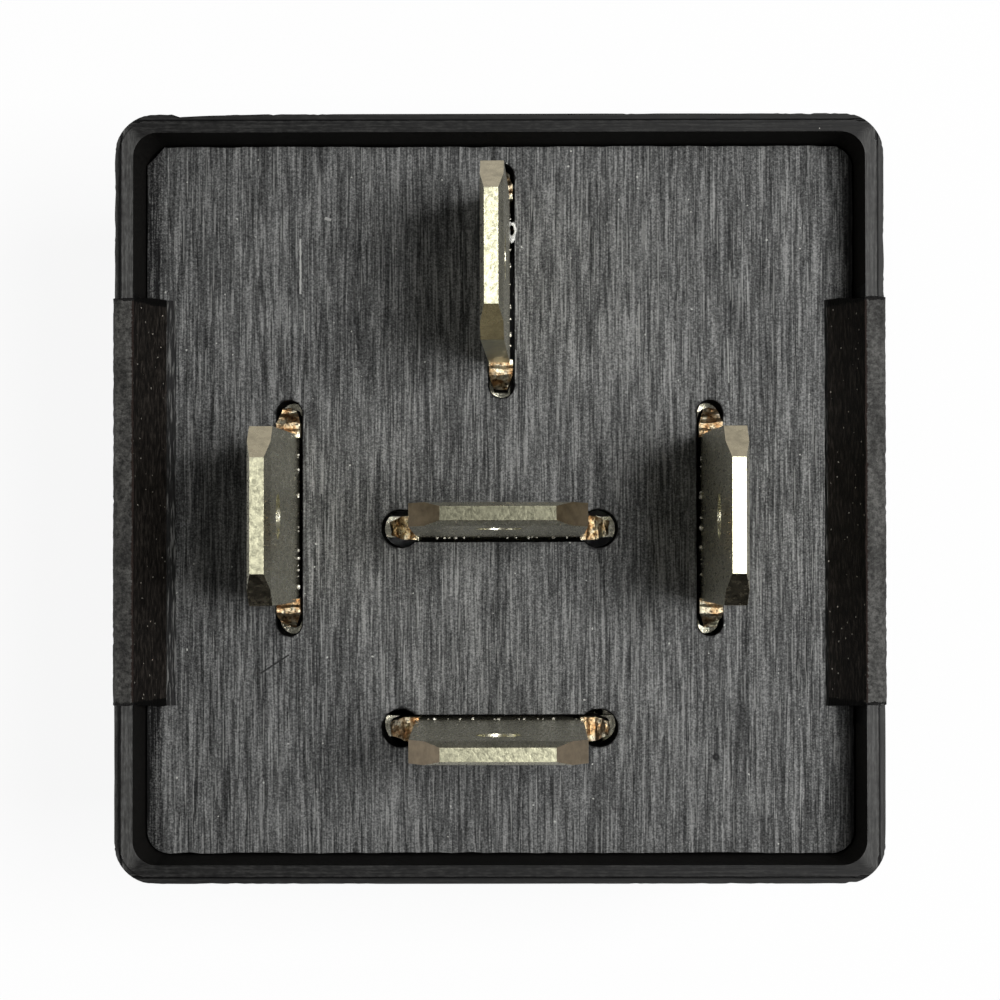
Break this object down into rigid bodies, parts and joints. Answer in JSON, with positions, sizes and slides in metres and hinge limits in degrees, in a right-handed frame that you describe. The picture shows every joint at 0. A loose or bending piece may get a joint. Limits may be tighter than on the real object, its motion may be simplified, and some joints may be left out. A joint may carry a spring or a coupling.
{
  "type": "automotive relay",
  "caption": "Cube-shaped plug-in relay with a change-over contact, blade terminals and a hinged armature inside.",
  "frame": {"origin": "centre of the closed end of the case, on the surface that it rests on", "axes": "+Z along the blades, away from the closed end; +X towards coil terminal 86; +Y towards common terminal 30"},
  "size_m": [0.0286, 0.0284, 0.0338],
  "materials": {
    "case_plastic": "black moulded nylon, satin",
    "board": "dark laminated hard board, brushed one way",
    "tinned_brass": "tin-plated brass sheet, bright",
    "iron": "zinc-plated soft iron",
    "bobbin_plastic": "natural glass-filled nylon",
    "enamelled_copper": "copper wire with clear red-brown enamel",
    "spring_bronze": "bare copper alloy strip",
    "rivet_brass": "bare brass",
    "contact_silver": "silver alloy, satin"
  },
  "bodies": {
    "housing": {"case": "case_plastic", "base_plate": "board", "terminal_30": "tinned_brass", "terminal_85": "tinned_brass", "terminal_86": "tinned_brass", "terminal_87": "tinned_brass", "terminal_87a": "tinned_brass", "yoke": "iron", "core": "iron", "bobbin": "bobbin_plastic", "coil_winding": "enamelled_copper", "coil_lead_85": "enamelled_copper", "coil_lead_86": "enamelled_copper", "terminal_rivet": "rivet_brass", "spring_rivets": "rivet_brass", "contact_87": "contact_silver", "contact_87a": "contact_silver"},
    "swing_armature": {"armature": "iron", "contact_spring": "spring_bronze", "armature_rivets": "rivet_brass", "moving_contact": "contact_silver"}
  },
  "joints": [
    {"name": "armature_hinge", "type": "hinge", "parent": "housing", "child": "swing_armature", "pos_m": [0, 0.01035, 0.00578], "axis": [-1, 0, 0], "range_deg": [0, 2.29], "stiffness_Nm_per_rad": 0.12, "springref_deg": -5.73, "deforming": ["contact_spring"]}
  ]
}
